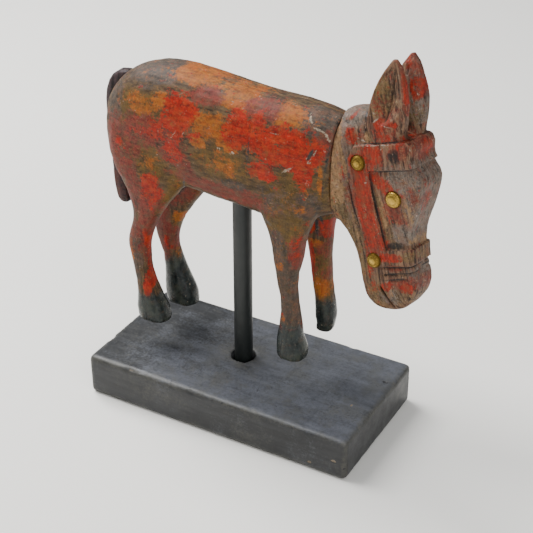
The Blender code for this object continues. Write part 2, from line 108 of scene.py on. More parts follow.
def applyModifiers(piece):
    graph = bpy.context.evaluated_depsgraph_get()
    mesh = bpy.data.meshes.new_from_object(piece.evaluated_get(graph))
    piece.modifiers.clear()
    piece.data = mesh


def pointVectors(mesh, key):
    flat = np.empty(len(mesh.vertices) * 3, np.float32)
    mesh.vertices.foreach_get(key, flat)
    return flat.reshape(-1, 3).astype(float)


def places(mesh):
    return pointVectors(mesh, "co")


def normalsOf(mesh):
    return pointVectors(mesh, "normal")


def setPlaces(mesh, points):
    mesh.vertices.foreach_set("co", points.astype(np.float32).ravel())
    mesh.update()


def edgeEnds(mesh):
    # both ends of every edge, and how many edges meet at each point
    edges = np.empty(len(mesh.edges) * 2, np.int32)
    mesh.edges.foreach_get("vertices", edges)
    first, second = edges[0::2], edges[1::2]
    size = len(mesh.vertices)
    return first, second, np.bincount(first, minlength=size) + np.bincount(second, minlength=size)


def neighbourMeans(points, ends):
    first, second, count = ends
    total = np.zeros_like(points)
    for axis in range(3):
        total[:, axis] = np.bincount(first, points[second, axis], len(points))
        total[:, axis] += np.bincount(second, points[first, axis], len(points))
    return total / count[:, None]


def rubSmooth(mesh, rounds, held):
    # sands the facets' edges down: a step in, then one a little longer out, so nothing shrinks;
    # held is 0 where it works and 1 where the wood stays as cut
    ends = edgeEnds(mesh)
    points = places(mesh)
    free = (1 - held)[:, None]
    for turn in range(rounds):
        for share in (0.5, -0.52):
            points += share * free * (neighbourMeans(points, ends) - points)
    setPlaces(mesh, points)


def wobble(points, sizeMm, seed, octaves=3):
    # smooth noise from about -1 to 1 whose lumps are sizeMm across; each seed takes it from another place
    size = sizeMm * millimetre
    shift = Vector([seed * step for step in (7.31, 3.17, 5.71)])
    values = np.empty(len(points))
    for i, point in enumerate(points):
        values[i] = noise.fractal(Vector(point) / size + shift, 0.9, 2.0, octaves)
    return values


def smoothStep(low, high, value):
    t = np.clip((value - low) / (high - low), 0, 1)
    return t * t * (3 - 2 * t)


def paintLayer(mesh, name, values):
    layer = mesh.attributes.new(name, "FLOAT", "POINT")
    layer.data.foreach_set("value", values.astype(np.float32))


def softPatch(across, up, patch):
    # 1 in the middle of a tilted oval, 0.5 at its edge, 0 well outside; sizes in millimetres
    cx, cz, halfX, halfZ, tilt, strength = patch
    c, s = math.cos(math.radians(tilt)), math.sin(math.radians(tilt))
    a = ((across - cx) * c + (up - cz) * s) / halfX
    b = (-(across - cx) * s + (up - cz) * c) / halfZ
    reach = np.sqrt(a * a + b * b)
    return strength * (1 - smoothStep(0.45, 1.55, reach))


def pushOut(mesh, lumpsMm, nodeName):
    # moves each point along its normal, but not out of the node's box; gives back where all of them would be
    points = places(mesh) + normalsOf(mesh) * (lumpsMm * millimetre)[:, None]
    low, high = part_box(nodeName)
    setPlaces(mesh, np.clip(points, np.array(low), np.array(high)))
    return points


def dress(piece, material, nodeNames):
    piece.data.materials.clear()
    piece.data.materials.append(material)
    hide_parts(*nodeNames)
    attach(piece, "root")
    print("made", piece.name, len(piece.data.polygons), "faces")


def coatOver(tree, layer, index, noises, under):
    # one more coat: where its attribute and the noises let it lie, its colour there, its height and its shine
    broad, grain, rubs, brush = noises
    colour, height, gloss = under
    amount = addNode(tree, "ShaderNodeAttribute", {"attribute_name": layer["name"]}, None, "Fac")
    middle = 0.5
    for source, weight in (
            (broad[index % len(broad)], layer["ragged"]), (grain[index % 3], layer["grainy"]),
            (brush[index % 3], layer["streaked"])):
        amount = addNode(tree, "ShaderNodeMath", timesPlus, {0: source, 1: weight, 2: amount}, 0)
        middle += 0.5 * weight
    cover = addNode(tree, "ShaderNodeMapRange", eased, {
        "Value": amount, "From Min": middle - layer["soft"], "From Max": middle + layer["soft"],
        "To Max": layer["cover"]}, "Result")
    kept = addNode(tree, "ShaderNodeMapRange", eased, {
        "Value": rubs[index % 3], "From Min": 0.5, "From Max": 0.68, "To Min": 1.0,
        "To Max": 1.0 - layer["rubbedOff"]}, "Result")
    cover = addNode(tree, "ShaderNodeMath", {"operation": "MULTIPLY"}, {0: cover, 1: kept}, 0)
    shade = addNode(tree, "ShaderNodeMath", {"operation": "ADD"}, {
        0: brush[(index + 1) % 3], 1: grain[(index + 1) % 3]}, 0)
    lightness = addNode(tree, "ShaderNodeMapRange", None, {
        "Value": shade, "From Min": 0.76, "From Max": 1.24}, "Result")
    tint = addNode(tree, "ShaderNodeMix", coloured, {
        0: lightness, 6: linearColour(layer["dark"]), 7: linearColour(layer["light"])}, 2)
    straying = addNode(tree, "ShaderNodeMapRange", eased, {
        "Value": broad[(index + 4) % len(broad)], "From Min": 0.44, "From Max": 0.66,
        "To Max": layer["strays"]}, "Result")
    tint = addNode(tree, "ShaderNodeMix", coloured, {0: straying, 6: tint, 7: linearColour(layer["stray"])}, 2)
    colour = addNode(tree, "ShaderNodeMix", coloured, {0: cover, 6: colour, 7: tint}, 2)
    height = addNode(tree, "ShaderNodeMath", timesPlus, {0: cover, 1: layer["thickMm"], 2: height}, 0)
    gloss = addNode(tree, "ShaderNodeMix", {"data_type": "FLOAT"}, {
        0: cover, 2: gloss, 3: layer["roughness"]}, 0)
    return cover, (colour, height, gloss)


def brushNoises(tree, place, look, share):
    # noise drawn out along the brush's way; on the legs that is another way than on the barrel
    marks = []
    for sizesMm in look["brushMm"]:
        turned = addNode(tree, "ShaderNodeMapping", {"vector_type": "TEXTURE"}, {
            "Vector": place, "Scale": [size * share * millimetre for size in sizesMm],
            "Rotation": look["brushTurn"]}, "Vector")
        marks.append(addNode(tree, "ShaderNodeTexNoise", None, {
            "Vector": turned, "Scale": 1.0, "Detail": 4.0, "Roughness": 0.62}, "Color"))
    if len(marks) > 1:
        upright = addNode(tree, "ShaderNodeAttribute", {"attribute_name": "upright"}, None, "Fac")
        marks.append(addNode(tree, "ShaderNodeMix", coloured, {0: upright, 6: marks[0], 7: marks[1]}, 2))
    return list(addNode(tree, "ShaderNodeSeparateColor", None, {0: marks[-1]}).outputs)


def wornPaint(name, look):
    # Old distemper and oil paint, brushed over carved wood in thin coats and rubbed through: the colours
    # cloud into each other, with fine brush lines, grains of the coat below, dark dirt in scratches and specks,
    # painted shade in the hollows, and edges paler with wear and a painted highlight.
    # A noise's values lie close round 0.5, so the ranges that read one are narrow
    material, tree, place = emptyMaterial(name)
    clouds = []  # each colour channel of a noise is a noise of its own, so no two coats break up alike
    for sizeMm in look["cloudMm"] + (look["grainSizeMm"], look["rubMm"]):
        cloud = addNode(tree, "ShaderNodeTexNoise", None, {
            "Vector": place, "Scale": 1 / (sizeMm * millimetre), "Detail": 7.0, "Roughness": 0.66}, "Color")
        clouds.append(list(addNode(tree, "ShaderNodeSeparateColor", None, {0: cloud}).outputs))
    broad = [part for cloud in clouds[:-2] for part in cloud]
    grain, rubs = clouds[-2:]
    brush = brushNoises(tree, place, look, 1.0)
    scratch = brushNoises(tree, place, look, 0.3)
    share = addNode(tree, "ShaderNodeMapRange", eased, {
        "Value": brush[0], "From Min": 0.36, "From Max": 0.64}, "Result")
    colour = addNode(tree, "ShaderNodeMix", coloured, {
        0: share, 6: linearColour(look["base"][0]), 7: linearColour(look["base"][1])}, 2)
    gloss = addNode(tree, "ShaderNodeMapRange", None, {
        "Value": rubs[2], "From Min": 0.35, "From Max": 0.65,
        "To Min": look["roughness"][0], "To Max": look["roughness"][1]}, "Result")
    height = addNode(tree, "ShaderNodeMath", {"operation": "MULTIPLY"}, {0: brush[0], 1: look["grainMm"]}, 0)
    height = addNode(tree, "ShaderNodeMath", timesPlus, {0: grain[0], 1: look["stippleMm"], 2: height}, 0)
    painted = colour, height, gloss
    for index, layer in enumerate(look["layers"]):
        cover, painted = coatOver(tree, layer, index, (broad, grain, rubs, brush), painted)
        if layer["name"] == "black":  # which stays nearly free of marks
            unmarked = addNode(tree, "ShaderNodeMath", timesPlus, {0: cover, 1: -0.85, 2: 1.0}, 0)
    colour, height, gloss = painted
    specks = addNode(tree, "ShaderNodeTexNoise", None, {
        "Vector": place, "Scale": 1 / (look["speckMm"] * millimetre), "Detail": 2.0, "Roughness": 0.5}, "Fac")
    wearAndShade = []
    for attribute, source, weight in (("edgeWearAndHighlight", broad[3], 1.6), ("hollowShade", grain[2], 1.2)):
        amount = addNode(tree, "ShaderNodeAttribute", {"attribute_name": attribute}, None, "Fac")
        wearAndShade.append(addNode(tree, "ShaderNodeMath", timesPlus, {0: source, 1: weight, 2: amount}, 0))
    # marks: the noise, where it starts to show and where it is full, how much it covers at most, its colour
    for source, low, high, most, hexCode in (
            (scratch[0], 0.56, 0.68, look["scratchCover"], look["dirtAndShade"]),
            (scratch[1], 0.6, 0.72, look["paleCover"], look["fleck"]),
            (grain[1], 0.6, 0.72, look["speckCover"], look["dirtAndShade"]),
            (rubs[1], 0.6, 0.7, look["glintCover"], look["glint"]),
            (specks, 0.34, 0.26, look["fleckCover"], look["fleck"]),
            # edges: paler, with wear and a painted highlight
            (wearAndShade[0], 1.1, 1.6, look["edgeWearAndHighlightCover"], look["edge"]),
            # hollows: darker, painted shade
            (wearAndShade[1], 0.8, 1.5, look["hollowShadeCover"], look["dirtAndShade"])):
        cover = addNode(tree, "ShaderNodeMapRange", eased, {
            "Value": source, "From Min": low, "From Max": high, "To Max": most}, "Result")
        cover = addNode(tree, "ShaderNodeMath", {"operation": "MULTIPLY"}, {0: cover, 1: unmarked}, 0)
        colour = addNode(tree, "ShaderNodeMix", coloured, {0: cover, 6: colour, 7: linearColour(hexCode)}, 2)
    height = addNode(tree, "ShaderNodeMath", timesPlus, {
        0: scratch[0], 1: -look["scratchDeepMm"], 2: height}, 0)
    bump = addNode(tree, "ShaderNodeBump", None, {
        "Height": height, "Distance": millimetre, "Strength": 1.0}, "Normal")
    surface = addNode(tree, "ShaderNodeBsdfPrincipled", None, {
        "Base Color": colour, "Normal": bump, "Roughness": gloss, "IOR": look["ior"],
        "Specular IOR Level": look["sheen"]}, "BSDF")
    addNode(tree, "ShaderNodeOutputMaterial", None, {"Surface": surface})
    return material


def lessBare(bare, covers):
    # what is still bare once one more patch of a coat is on; never quite none
    return bare * (1 - np.clip(covers, 0, 0.999))


def fromBar(points):
    # distance in millimetres from the bar's axis, seen from above
    return np.hypot(points[:, 0] - barX, points[:, 1] - barY)


def coat(name, dark, light, stray, **changes):
    # one coat of paint: its two shades and the hue it drifts to, how it is torn, streaked and rubbed off
    values = {"name": name, "dark": dark, "light": light, "stray": stray, "strays": 0.6, "ragged": 2.2,
              "grainy": 1.9, "streaked": 1.0, "soft": 0.3, "cover": 0.95, "thickMm": 0.04,
              "rubbedOff": 0.55, "roughness": 0.6}
    values.update(changes)
    return values


def edgesAndHollows(mesh, rounds, reachMm):
    # how far each point stands out of, or lies in, its smoothed neighbourhood: the edges that stand out get wear
    # and a painted highlight, the hollows get painted shade
    ends = edgeEnds(mesh)
    start = points = places(mesh)
    for turn in range(rounds):
        points = 0.4 * points + 0.6 * neighbourMeans(points, ends)
    proud = np.einsum("ij,ij->i", start - points, normalsOf(mesh)) / (reachMm * millimetre)
    paintLayer(mesh, "edgeWearAndHighlight", np.clip(proud, 0, 1))
    paintLayer(mesh, "hollowShade", np.clip(-proud, 0, 1))


# Body: barrel and four legs

bodyLook = {
    "voxelMm": 1.0,
    "sanding": 9,
    "jointX": 65.0,
    "wobbleMm": 0.28,
    # crack across the flank: middle x, half width, depth, where it starts and ends; chip: patch, depth
    "crackMm": (13.0, 1.1, 0.55, (192, 198), (219, 225)),
    "chipMm": ((54.3, 207.2, 1.7, 4.6, -20, 1.0), 0.7),
    "cloudMm": (11.0, 8.0, 5.0),
    "grainSizeMm": 1.5,
    "rubMm": 3.6,
    "brushMm": ((10.0, 2.6, 2.6), (2.4, 2.4, 16.0)),
    "brushTurn": (0, 0, 0),
    "ior": 1.45,
    "sheen": 0.25,
    "grainMm": 0.1,
    "stippleMm": 0.14,
    "scratchDeepMm": 0.06,
    "scratchCover": 0.22,
    "paleCover": 0.25,
    "speckMm": 0.9,
    "speckCover": 0.65,
    "fleckCover": 0.25,
    "glint": "#8a4a12",
    "glintCover": 0.4,
    "base": ("#33261a", "#5f4a31"),
    # the dark colour below is dirt in scratches and specks, and painted shade in the hollows
    "dirtAndShade": "#1a100a",
    "fleck": "#b08458",
    # edge colour: wear and a painted highlight on the edges
    "edge": "#7d5c46",
    "edgeWearAndHighlightCover": 0.35,
    "hollowShadeCover": 0.8,
    "roughness": (0.5, 0.7),
    "layers": (
        coat("olive", "#302510", "#685027", "#75531d", cover=0.92, soft=0.4),
        coat("grey", "#262320", "#55493f", "#6c4a38", streaked=1.4, soft=0.27, rubbedOff=0.5),
        coat("ochre", "#6e350c", "#a5621c", "#a84f14", ragged=2.6, soft=0.24),
        coat("rose", "#491713", "#85382b", "#593f2f", ragged=2.4, soft=0.3, strays=0.8),
        coat("red", "#590c04", "#ae2207", "#a33b11", ragged=2.5, soft=0.19, thickMm=0.07, roughness=0.56,
             rubbedOff=0.4),
        # black: paint on the hooves, and thin lines of painted shade in cracks and creases
        coat("black", "#0d1313", "#2a3434", "#3f443b", ragged=1.4, grainy=0.8, roughness=0.18, rubbedOff=0.2),
        coat("pale", "#6b5c4e", "#b8a48c", "#8a7a68", ragged=1.8, streaked=0.6, soft=0.16, strays=0.5),
    ),
}

# Where each coat shows on the near flank, then on the near and the far legs: middle x and z, half sizes,
# tilt, strength (millimetres and degrees)
flankCoats = {
    "grey": (
        (-66, 236, 24, 8, 0, 1.0), (10, 240, 62, 4.6, 0, 1.2), (57, 229, 12, 10, 0, 1.6),
        (30, 178, 10, 16, 0, 0.6), (52, 176, 9, 12, 0, 0.7), (-88, 212, 6, 16, 0, 0.9),
        (-17, 214, 7, 4, 0, 0.8), (-79, 128, 4, 22, 0, 0.9), (4, 176, 14, 5, -6, 0.7),
        (13, 205, 1.2, 11, 0, 0.9), (-92, 222, 6, 12, 20, 0.9)),
    "ochre": (
        (8, 236, 30, 2.2, 0, 0.6), (-34, 237, 15, 4, -6, 0.9), (-52, 222, 7, 5, 30, 0.9),
        (0, 230, 13, 5, -6, 1.0), (-12, 213, 17, 9, 0, 0.8), (36, 227, 10, 4.6, -4, 1.15),
        (-67, 217, 11, 7, 0, 0.65), (-22, 201, 6, 3, -10, 1.0), (1, 202, 5, 3, 0, 1.0),
        (-4, 191, 14, 8, 0, 0.5), (60, 194, 1.8, 12, 0, 0.8), (52, 186, 2, 8, 0, 0.5),
        (-64, 178, 9, 7, 0, 0.5), (48, 171, 4, 4, 0, 0.5)),
    "olive": (
        (-70, 213, 18, 12, 0, 1.1), (-12, 212, 15, 7, 0, 0.9), (-58, 194, 20, 12, 0, 0.45),
        (-5, 190, 19, 12, -6, 1.15), (50, 186, 18, 12, 0, 1.0), (36, 172, 16, 20, 0, 1.0),
        (-61, 178, 14, 12, 0, 1.2), (-42, 164, 6, 16, -18, 1.25), (-53, 145, 5, 13, -32, 1.25),
        (-87, 206, 7, 14, 0, 0.7), (-80, 112, 6, 46, 0, 0.8), (36, 125, 12, 40, 0, 1.0)),
    "rose": (
        (-20, 229, 11, 4, -4, 1.1), (18, 228, 13, 4.5, -4, 1.1), (60, 214, 6, 8, 0, 0.9),
        (-10, 169, 34, 6, -6, 1.0), (12, 169, 10, 7, 0, 1.0), (-34, 182, 7, 12, 20, 1.0),
        (-60, 201, 24, 9, 0, 0.9), (-88, 180, 10, 22, 8, 1.1), (-76, 160, 6, 20, 0, 1.0),
        (-67, 140, 6, 18, 0, 1.2), (-61, 154, 8, 13, 0, 1.1), (-68, 124, 4, 12, 0, 1.1),
        (-74, 190, 14, 10, 0, 0.8), (-77, 116, 7, 14, 0, 0.7), (-46, 190, 10, 8, 0, 0.7)),
    "red": (
        (-37, 218, 11, 10, -4, 1.25), (4, 214, 9, 11, 0, 1.25), (37, 210, 22, 11, -3, 1.45),
        (50, 196, 6, 11, 0, 1.15), (23, 192, 10, 6, -8, 1.0), (18, 222, 5, 5, 0, 0.8),
        (-45, 205, 15, 8, 10, 0.7), (-63, 198, 12, 5, 0, 0.45), (-40, 190, 11, 8, 0, 0.6),
        (-60, 161, 8, 9, 0, 0.8), (-64, 148, 4, 9, 0, 0.45), (-86, 186, 5, 9, 0, 0.5),
        (-24, 205, 6, 4, 0, 0.5), (-58, 146, 4, 10, 0, 0.4)),
    # the thin dark lines are painted shade: in the crack, in the chip, at the neck's joint and where the barrel
    # meets the legs
    "black": (
        (53.6, 209, 1.0, 3.8, -22, 1.2), (13.4, 209, 0.5, 12, 4, 0.7), (-7, 157, 32, 3.0, 0, 0.6),
        (-47, 199, 3, 0.8, 50, 0.5), (63.0, 200, 0.8, 24, -6, 0.5), (-42, 157, 1.0, 16, -24, 0.7)),
    "pale": (
        (49, 228, 3.2, 0.45, -48, 1.0), (56.5, 223.2, 4.6, 0.45, -16, 1.1), (62.5, 219.5, 3.0, 0.5, -55, 1.1),
        (55.4, 209.0, 0.4, 4.0, -25, 1.05), (53.4, 203.6, 1.6, 0.5, 25, 1.0), (51.9, 205.5, 0.3, 1.8, 20, 0.9),
        (39.4, 196.6, 3.9, 0.6, 36, 1.15), (-40, 203, 0.35, 4.0, -35, 0.75), (-33, 205, 0.3, 3.5, -35, 0.7),
        (30, 217.5, 7, 0.3, -4, 0.7), (3, 200.4, 1.2, 0.6, -40, 0.9)),
}
nearLegCoats = {
    "red": (
        (-70.5, 79, 2.8, 8.5, 0, 1.25), (-70, 106, 2.0, 16, 0, 0.9), (46, 142, 3.6, 9, -10, 0.35),
        (34, 79, 2.6, 1.4, 0, 0.8), (42, 79, 2.4, 1.2, 0, 0.8)),
    "ochre": ((-82, 103, 2.0, 10, 0, 0.5), (34, 126, 3, 4, 0, 0.6)),
    "rose": ((-84, 122, 4, 12, 0, 0.5), (-70, 110, 3, 18, 0, 0.8), (45, 139, 5, 13, 0, 1.0)),
    "grey": ((37, 108, 14, 30, 0, 1.2), (-80, 100, 6, 28, 0, 1.2), (32, 140, 7, 16, 0, 0.9)),
    "black": ((-70, 59, 22, 12, 0, 1.3), (38, 62, 16, 16, 0, 1.2), (40, 79, 8, 5, 0, 0.5)),
}
farLegCoats = {
    "rose": (
        (-75, 114, 7, 34, 0, 1.2), (-62, 146, 14, 14, 0, 1.2), (-67, 103, 3.5, 9, 0, 0.9),
        (52, 148, 8, 12, 0, 1.0), (50, 118, 8, 18, 0, 0.5)),
    "ochre": (
        (-61, 121, 5, 4.5, 20, 1.3), (-63, 94, 3.4, 8, 0, 1.3), (43, 131, 6, 3.6, 0, 1.2),
        (48, 98, 6, 9, 0, 0.9)),
    "olive": ((49, 110, 8, 24, 0, 1.0), (-62, 116, 7, 8, 0, 0.6)),
    "red": (
        (-72, 96, 3, 7, 0, 0.6), (39, 147, 5, 9, 0, 1.35), (52, 143, 4, 9, 0, 1.0),
        (40.5, 116, 2.8, 16, 0, 1.15)),
    # besides the hooves, the band and the thin line at the legs' tops are painted shade
    "black": (
        (-66, 64, 24, 21, 0, 1.3), (49, 68, 16, 19, 0, 1.3), (-58, 148, 20, 5, 40, 0.8),
        (45.5, 146, 1.2, 12, 0, 0.8)),
}


def paintBody(mesh, look):
    points = places(mesh) / millimetre
    across, side, up = points[:, 0], points[:, 1] - barY, points[:, 2]
    near = 1 - smoothStep(-2.5, 2.5, side)
    barrel = smoothStep(136, 156, up)
    for name in coatNames:
        bare = np.ones(len(points))
        for patch in flankCoats.get(name, ()):
            # the hidden flank has the same patches end for end, and those of the back run over it
            shifted = (7 - patch[0] * 0.94, patch[1] - 3, patch[2] * 1.1, patch[3], -patch[4], patch[5])
            onTop = patch[1] > 231
            hidden = patch if onTop else shifted
            value = near * softPatch(across, up, patch) + (1 - near) * softPatch(across, up, hidden)
            bare *= 1 - np.clip(value, 0, 0.999) * (1 if onTop else np.maximum(barrel, near))
        for patch in nearLegCoats.get(name, ()):
            bare = lessBare(bare, near * softPatch(across, up, patch))
        for patch in farLegCoats.get(name, ()):
            bare = lessBare(bare, (1 - near) * (1 - barrel * (up > 150)) * softPatch(across, up, patch))
        paintLayer(mesh, name, 1 - bare)
    paintLayer(mesh, "upright", 1 - smoothStep(140, 175, up))


def makeBody(look):
    piece = fineSkin("horseBody", "horse_body", look)
    mesh = piece.data
    points = places(mesh)
    # the neck's joint, the bar's socket and the tail's slot stay as cut
    held = smoothStep(look["jointX"] - 1.4, look["jointX"] - 0.6, points[:, 0] / millimetre)
    held = np.maximum(held, 1 - smoothStep(7.4, 8.6, fromBar(points / millimetre)))
    tailLow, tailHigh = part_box("horse_tail")
    beside = np.maximum(np.array(tailLow) - points, points - np.array(tailHigh)).max(axis=1) / millimetre
    held = np.maximum(held, 1 - smoothStep(0.2, 1.6, beside))
    rubSmooth(mesh, look["sanding"], held)
    points = places(mesh)
    lumps = (wobble(points, 13, 1) + 0.3 * wobble(points, 4.5, 2, 2)) * look["wobbleMm"]
    across, up = points[:, 0] / millimetre, points[:, 2] / millimetre
    near = 1 - smoothStep(-2, 2, points[:, 1] / millimetre - barY)
    crackX, halfWidth, deep, foot, top = look["crackMm"]
    crackX = crackX + 0.9 * np.sin(up * 0.7) + 0.5 * np.sin(up * 1.9)
    crack = 1 - smoothStep(0.2, halfWidth, np.abs(across - crackX))
    lumps -= deep * near * crack * smoothStep(*foot, up) * (1 - smoothStep(*top, up))
    chip, deep = look["chipMm"]
    lumps -= deep * near * softPatch(across, up, chip)
    pushOut(mesh, lumps * (1 - held), "horse_body")
    paintBody(mesh, look)
    edgesAndHollows(mesh, 14, 1.1)
    dress(piece, wornPaint("paintedCarvedWood", look), ["horse_body"])


makeBody(bodyLook)


# Head, ears and carved bridle, in the head's own frame: out of the face, across it, down it

headLook = dict(bodyLook)
headLook.update({
    "voxelMm": 0.6,
    "sanding": 5,
    "wobbleMm": 0.14,
    "rubMm": 3.2,
    "chiselMm": 0.35,
    # knife cuts on both sides: from and to (out, down), how far they bow, half width, depth;
    # the last one is the ears' valleys
    "cutsMm": (
        ((-38, 78.0), (-9, 77.6), 0.0, 0.9, 0.5), ((-37, 82.4), (-11, 81.2), 0.6, 1.1, 0.75),
        ((-34, 86.4), (-16, 85.0), 0.5, 1.0, 0.6), ((-21, 24.5), (-6, 22.0), -3.4, 0.8, 0.5),
        ((-20, 27.0), (-8, 24.0), -3.0, 0.7, 0.4), ((-14, 21.0), (-4, 26.0), -1.0, 0.7, 0.4),
        ((-26, 44.0), (-10, 49.0), 1.5, 0.8, 0.3),
        ((-12.4, -10.0), (-1.6, -44.0), 0.0, 1.4, 0.8)),
    "originMm": (113.4, 4.0, 226.1),
    "axes": ((0.94585, 0.13608, -0.29471), (-0.09941, 0.98570, 0.13608), (0.30902, -0.09941, 0.94585)),
    "cloudMm": (9.0, 6.0, 4.5),
    "grainSizeMm": 1.4,
    "brushMm": ((1.8, 1.8, 24.0),),
    "scratchCover": 0.5,
    "paleCover": 0.3,
    "base": ("#2e211a", "#7b5d48"),
    # edge colour: wear and a painted highlight on the edges
    "edge": "#7a3f2c",
    "edgeWearAndHighlightCover": 0.5,
    "glint": "#70401f",
    "layers": (
        coat("olive", "#362b16", "#826c49", "#86663a", cover=0.85, streaked=2.2, soft=0.4),
        coat("grey", "#2f2b28", "#85786c", "#6c4f40", streaked=2.2, soft=0.36, rubbedOff=0.6),
        coat("rose", "#3c120d", "#8a3a2a", "#5a3a2c", streaked=1.6, soft=0.4),
        coat("ochre", "#5c4228", "#aa8862", "#8c6644", streaked=2.0, soft=0.3),
        coat("red", "#4e0e06", "#ad290e", "#74361d", streaked=2.0, soft=0.3, thickMm=0.05, roughness=0.56,
             rubbedOff=0.7, strays=0.8),
        # black: dark paint, and thin lines of painted shade along the straps and in the grooves
        coat("black", "#0b0909", "#1c1815", "#2a211b", ragged=1.4, grainy=0.8, roughness=0.4),
        # pale: scratches, and a painted highlight along the browband
        coat("pale", "#6f6258", "#b0a08f", "#8a6a5c", streaked=0.8, soft=0.16, strays=0.5),
    ),
})
headLook["brushTurn"] = tuple(Matrix(headLook["axes"]).to_euler("XYZ"))

# Where each coat shows on the side of the head, on the far ear, and on the face (there across and down):
# middle out and down, half sizes, tilt, strength
cheekCoats = {
    "red": (
        (-37, -5, 3.4, 5, 0, 1.05), (-36, -17, 3, 1.4, -40, 0.9), (-24, 5.5, 7.5, 6.5, 0, 1.2),
        (-35.5, 36, 5.5, 28, 3, 1.2), (-38, 12, 3.5, 8, 0, 0.8), (-26, 19, 3.0, 8, -22, 1.35),
        (-19.5, 27, 4, 5.5, -30, 1.1), (-26, 71, 8, 2.6, 0, 1.25), (-34, 90, 5, 3, -20, 0.95),
        (-20, 91, 6, 2.8, 0, 0.95), (-14.5, -11, 3.4, 4.0, -30, 1.1), (-7, -11.5, 3.6, 2.0, 20, 0.9),
        (-10, -4, 3, 3, 0, 0.5), (-22, 40, 3, 10, 0, 0.5), (-40, 68, 4, 8, 0, 0.6), (-43, 82, 1.8, 12, 0, 0.6),
        (2.9, -29, 0.7, 18, 0, 0.9), (-47, 8, 1.6, 10, 0, 0.3), (-4, 1, 3, 5, 0, 0.5), (-10, 34, 4, 6, 0, 0.4),
        (-30, 62, 5, 4, 0, 0.7), (-15, -3, 4, 3, 0, 0.7)),
    "rose": (
        (2.6, -29, 1.8, 20, 0, 1.1), (-12, -20, 7, 8, 0, 0.5), (-14, 46, 6, 5, 0, 1.0),
        (-18, 36, 6, 8, 0, 0.85), (-35, 44, 7, 28, 0, 0.9), (-6, 5, 8, 6, 0, 0.9), (-25, 78, 9, 2.4, 0, 0.6),
        (-9, 88, 8, 5, 0, 0.65), (-46, 24, 5, 16, 0, 0.5), (-24, 88, 8, 4, 0, 0.7), (-13, -8, 8, 7, 0, 0.9),
        (-2, 32, 3, 6, 0, 0.6)),
    "grey": (
        (-15, 57, 7.5, 6.5, 0, 1.2), (-6, 25, 12, 12, 0, 0.9), (-36, -18, 9, 7, 0, 1.0),
        (-6, 46, 7, 16, 0, 0.9), (-8, 84, 9, 8, 0, 1.0), (-32, 97, 9, 6, 0, 0.7), (-46, 0, 8, 30, 0, 1.0),
        (-46, 40, 5, 20, 0, 0.6)),
    "olive": (
        (-52, 26, 8, 34, 0, 1.0), (-48, 70, 6, 22, 0, 0.7), (-27, 44, 2.6, 16, 0, 0.9),
        (-40, 98, 10, 9, 0, 0.8), (-13, -30, 6, 16, 0, 0.9), (-26, -4, 3, 4, 0, 0.9), (-25, 97, 12, 7, 0, 0.5),
        (-21, 58, 4, 8, 0, 0.7), (-12, 71, 8, 3, 0, 0.7)),
    "ochre": (
        (-7, 62, 5, 3.2, 0, 0.85), (-52, 8, 5, 26, 0, 1.1), (-46, -6, 3, 16, 0, 0.9),
        (-44, 10, 1.6, 12, 0, 0.8), (-25, 43, 2.2, 9, 0, 0.9), (-27, -4, 2, 4, 0, 0.9),
        (-8, 40, 3, 10, 0, 0.4), (-46.5, 50, 1.6, 16, 0, 0.6)),
    # thin dark lines of painted shade along the straps' edges, in the muzzle's grooves and at the ear's foot; the
    # rest is dark paint
    "black": (
        (-9, 8, 4, 5, 0, 0.8), (-14, 16.6, 15, 0.4, 0, 1.0), (-28.6, 40, 0.35, 28, 0, 1.0),
        (-23, 77.6, 14, 0.5, 0, 1.0), (-23, 81.6, 11, 0.6, -3, 0.95), (-22, 64, 7, 2.4, 0, 0.8),
        (-16, -0.6, 14, 0.6, 0, 0.9), (-44.8, 42, 0.8, 13, -4, 0.95), (-26, 85.4, 8, 0.8, -5, 0.9),
        (-27, -13, 1.2, 8, 0, 0.7)),
    # the long thin pale line along the browband is a painted highlight; the short ones are scratches
    "pale": (
        (-18, 0.5, 11, 0.3, 0, 0.8), (-30, -2.5, 3.4, 0.4, 25, 0.8), (-17, 3, 3, 0.4, -30, 0.8),
        (-11, -10.5, 3, 0.4, 20, 0.7), (-18, -14.0, 3, 0.4, -30, 0.7), (-6, 22, 4, 0.4, 20, 0.5)),
}
farEarCoats = {
    "red": ((1.0, -27.5, 4.0, 6.0, 0, 1.4), (-3, -45, 3, 5, 0, 0.6)),
    "grey": ((0, -24, 7, 24, 0, 0.8),),
    "rose": ((0, -36, 5, 9, 0, 0.8), (-3, -46, 4, 6, 0, 0.8)),
    "black": ((5, -18, 2, 10, 0, 0.5),),
    "olive": ((-2, -14, 6, 8, 0, 1.0),),
}
faceCoats = {
    "red": (
        (3, 7, 6, 5, 0, 0.9), (-8, 26, 3, 4, 0, 0.4), (-3, 36, 4, 8, 0, 0.45), (-5, 72, 6, 3, 0, 0.4)),
    "grey": ((0, 26, 14, 20, 0, 1.0), (-6, 52, 14, 18, 0, 0.9), (-8, 85, 14, 10, 0, 0.9)),
    "ochre": ((-7, 62, 5, 3, 0, 0.9),),
    "rose": ((-4, 36, 5, 8, 0, 0.5), (3, 90, 8, 5, 0, 0.6), (0, 6, 12, 7, 0, 0.9)),
}


def headPlaces(points, look):
    # places in the head's own frame, in millimetres: out of the face, across it, down it
    local = (points / millimetre - np.array(look["originMm"])) @ np.array(look["axes"])
    return local[:, 0], local[:, 1], -local[:, 2]


